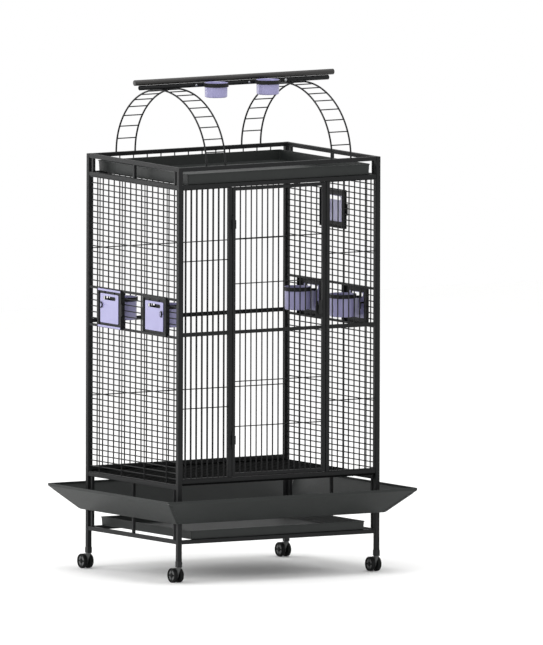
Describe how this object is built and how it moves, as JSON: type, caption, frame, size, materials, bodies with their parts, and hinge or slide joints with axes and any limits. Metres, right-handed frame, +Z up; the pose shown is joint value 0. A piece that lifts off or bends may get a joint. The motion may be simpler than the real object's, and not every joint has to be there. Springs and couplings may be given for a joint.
{
  "type": "parrot cage",
  "caption": "Parrot cage on casters with swinging feeder doors, slide-out trays and grate, a seed skirt and a play top with perch and arched ladders.",
  "frame": {"origin": "on the floor, at the middle of the cage's outer box", "axes": "+Z up, +X to the right along the front, -Y out of the front door"},
  "size_m": [1, 0.78, 1.6998],
  "materials": {
    "charcoal_powder_coat": "satin",
    "charcoal_sheet": "satin",
    "lavender_enamel": "satin",
    "stained_wood": "satin",
    "wheel_rubber": "matt",
    "black_nylon": "matt"
  },
  "bodies": {
    "cage": {"left_side_frame": "charcoal_powder_coat", "right_side_frame": "charcoal_powder_coat", "left_lower_mesh": "charcoal_powder_coat", "left_feeder_panel": "charcoal_powder_coat", "left_upper_mesh": "charcoal_powder_coat", "right_lower_mesh": "charcoal_powder_coat", "right_feeder_panel": "charcoal_powder_coat", "right_upper_mesh": "charcoal_powder_coat", "front_top_rail": "charcoal_powder_coat", "front_base_rail": "charcoal_powder_coat", "front_lower_rail": "charcoal_powder_coat", "back_lower_rail": "charcoal_powder_coat", "roof_panel": "charcoal_powder_coat", "front_left_panel": "charcoal_powder_coat", "front_right_panel": "charcoal_powder_coat", "back_panel": "charcoal_powder_coat", "front_skirt": "charcoal_sheet", "back_skirt": "charcoal_sheet", "left_skirt": "charcoal_sheet", "right_skirt": "charcoal_sheet", "left_ladder": "charcoal_powder_coat", "right_ladder": "charcoal_powder_coat", "support_tube": "charcoal_powder_coat", "perch": "stained_wood", "left_cup_holder": "charcoal_powder_coat", "right_cup_holder": "charcoal_powder_coat", "left_cup": "lavender_enamel", "right_cup": "lavender_enamel"},
    "front_door": {"front_door": "charcoal_powder_coat"},
    "door_latch": {"door_latch": "black_nylon"},
    "left_rear_feeder": {"left_rear_feeder_door": "charcoal_powder_coat", "left_rear_feeder_plate": "lavender_enamel", "left_rear_feeder_bowl": "lavender_enamel"},
    "left_rear_knob": {"left_rear_feeder_knob": "black_nylon"},
    "left_front_feeder": {"left_front_feeder_door": "charcoal_powder_coat", "left_front_feeder_plate": "lavender_enamel", "left_front_feeder_bowl": "lavender_enamel"},
    "left_front_knob": {"left_front_feeder_knob": "black_nylon"},
    "right_rear_feeder": {"right_rear_feeder_door": "charcoal_powder_coat", "right_rear_feeder_plate": "lavender_enamel", "right_rear_feeder_bowl": "lavender_enamel"},
    "right_rear_knob": {"right_rear_feeder_knob": "black_nylon"},
    "right_front_feeder": {"right_front_feeder_door": "charcoal_powder_coat", "right_front_feeder_plate": "lavender_enamel", "right_front_feeder_bowl": "lavender_enamel"},
    "right_front_knob": {"right_front_feeder_knob": "black_nylon"},
    "upper_hatch": {"upper_hatch_door": "charcoal_powder_coat", "upper_hatch_plate": "lavender_enamel"},
    "upper_hatch_knob": {"upper_hatch_knob": "black_nylon"},
    "top_tray": {"top_tray": "charcoal_sheet"},
    "floor_grate": {"floor_grate": "charcoal_powder_coat"},
    "bottom_tray": {"bottom_tray": "charcoal_sheet"},
    "front_left_fork": {"front_left_caster_fork": "black_nylon"},
    "front_left_wheels": {"front_left_caster_wheels": "wheel_rubber"},
    "front_right_fork": {"front_right_caster_fork": "black_nylon"},
    "front_right_wheels": {"front_right_caster_wheels": "wheel_rubber"},
    "rear_left_fork": {"rear_left_caster_fork": "black_nylon"},
    "rear_left_wheels": {"rear_left_caster_wheels": "wheel_rubber"},
    "rear_right_fork": {"rear_right_caster_fork": "black_nylon"},
    "rear_right_wheels": {"rear_right_caster_wheels": "wheel_rubber"}
  },
  "joints": [
    {"name": "front_door_hinge", "type": "hinge", "parent": "cage", "child": "front_door", "pos_m": [-0.188, -0.3025, 0.85], "axis": [0, 0, -1], "range_deg": [0, 170]},
    {"name": "door_latch_turn", "type": "hinge", "parent": "front_door", "child": "door_latch", "pos_m": [0.163, -0.292, 0.905], "axis": [0, 1, 0], "range_deg": [0, 90]},
    {"name": "left_rear_feeder_hinge", "type": "hinge", "parent": "cage", "child": "left_rear_feeder", "pos_m": [-0.4065, 0.0652, 0.904], "axis": [0, 0, 1], "range_deg": [0, 100]},
    {"name": "left_rear_knob_turn", "type": "hinge", "parent": "left_rear_feeder", "child": "left_rear_knob", "pos_m": [-0.397, 0.197, 0.914], "axis": [1, 0, 0], "range_deg": [0, 90]},
    {"name": "left_front_feeder_hinge", "type": "hinge", "parent": "cage", "child": "left_front_feeder", "pos_m": [-0.4065, -0.0652, 0.904], "axis": [0, 0, -1], "range_deg": [0, 100]},
    {"name": "left_front_knob_turn", "type": "hinge", "parent": "left_front_feeder", "child": "left_front_knob", "pos_m": [-0.397, -0.197, 0.914], "axis": [-1, 0, 0], "range_deg": [0, 90]},
    {"name": "right_rear_feeder_hinge", "type": "hinge", "parent": "cage", "child": "right_rear_feeder", "pos_m": [0.4065, 0.0652, 0.904], "axis": [0, 0, -1], "range_deg": [0, 100]},
    {"name": "right_rear_knob_turn", "type": "hinge", "parent": "right_rear_feeder", "child": "right_rear_knob", "pos_m": [0.397, 0.197, 0.914], "axis": [1, 0, 0], "range_deg": [0, 90]},
    {"name": "right_front_feeder_hinge", "type": "hinge", "parent": "cage", "child": "right_front_feeder", "pos_m": [0.4065, -0.0652, 0.904], "axis": [0, 0, 1], "range_deg": [0, 100]},
    {"name": "right_front_knob_turn", "type": "hinge", "parent": "right_front_feeder", "child": "right_front_knob", "pos_m": [0.397, -0.197, 0.914], "axis": [-1, 0, 0], "range_deg": [0, 90]},
    {"name": "upper_hatch_hinge", "type": "hinge", "parent": "cage", "child": "upper_hatch", "pos_m": [0.4065, -0.0798, 1.222], "axis": [0, 0, -1], "range_deg": [0, 100]},
    {"name": "upper_hatch_knob_turn", "type": "hinge", "parent": "upper_hatch", "child": "upper_hatch_knob", "pos_m": [0.397, 0.052, 1.232], "axis": [1, 0, 0], "range_deg": [0, 90]},
    {"name": "top_tray_slide", "type": "slide", "parent": "cage", "child": "top_tray", "axis": [0, -1, 0], "range_m": [0, 0.5]},
    {"name": "floor_grate_slide", "type": "slide", "parent": "cage", "child": "floor_grate", "axis": [0, -1, 0], "range_m": [0, 0.5]},
    {"name": "bottom_tray_slide", "type": "slide", "parent": "cage", "child": "bottom_tray", "axis": [0, -1, 0], "range_m": [0, 0.5]},
    {"name": "front_left_swivel", "type": "hinge", "parent": "cage", "child": "front_left_fork", "pos_m": [-0.397, -0.292, 0.06], "axis": [0, 0, 1], "continuous": true},
    {"name": "front_left_wheel_spin", "type": "hinge", "parent": "front_left_fork", "child": "front_left_wheels", "pos_m": [-0.397, -0.272, 0.025], "axis": [1, 0, 0], "continuous": true},
    {"name": "front_right_swivel", "type": "hinge", "parent": "cage", "child": "front_right_fork", "pos_m": [0.397, -0.292, 0.06], "axis": [0, 0, 1], "continuous": true},
    {"name": "front_right_wheel_spin", "type": "hinge", "parent": "front_right_fork", "child": "front_right_wheels", "pos_m": [0.397, -0.272, 0.025], "axis": [1, 0, 0], "continuous": true},
    {"name": "rear_left_swivel", "type": "hinge", "parent": "cage", "child": "rear_left_fork", "pos_m": [-0.397, 0.292, 0.06], "axis": [0, 0, 1], "continuous": true},
    {"name": "rear_left_wheel_spin", "type": "hinge", "parent": "rear_left_fork", "child": "rear_left_wheels", "pos_m": [-0.397, 0.312, 0.025], "axis": [1, 0, 0], "continuous": true},
    {"name": "rear_right_swivel", "type": "hinge", "parent": "cage", "child": "rear_right_fork", "pos_m": [0.397, 0.292, 0.06], "axis": [0, 0, 1], "continuous": true},
    {"name": "rear_right_wheel_spin", "type": "hinge", "parent": "rear_right_fork", "child": "rear_right_wheels", "pos_m": [0.397, 0.312, 0.025], "axis": [1, 0, 0], "continuous": true}
  ]
}
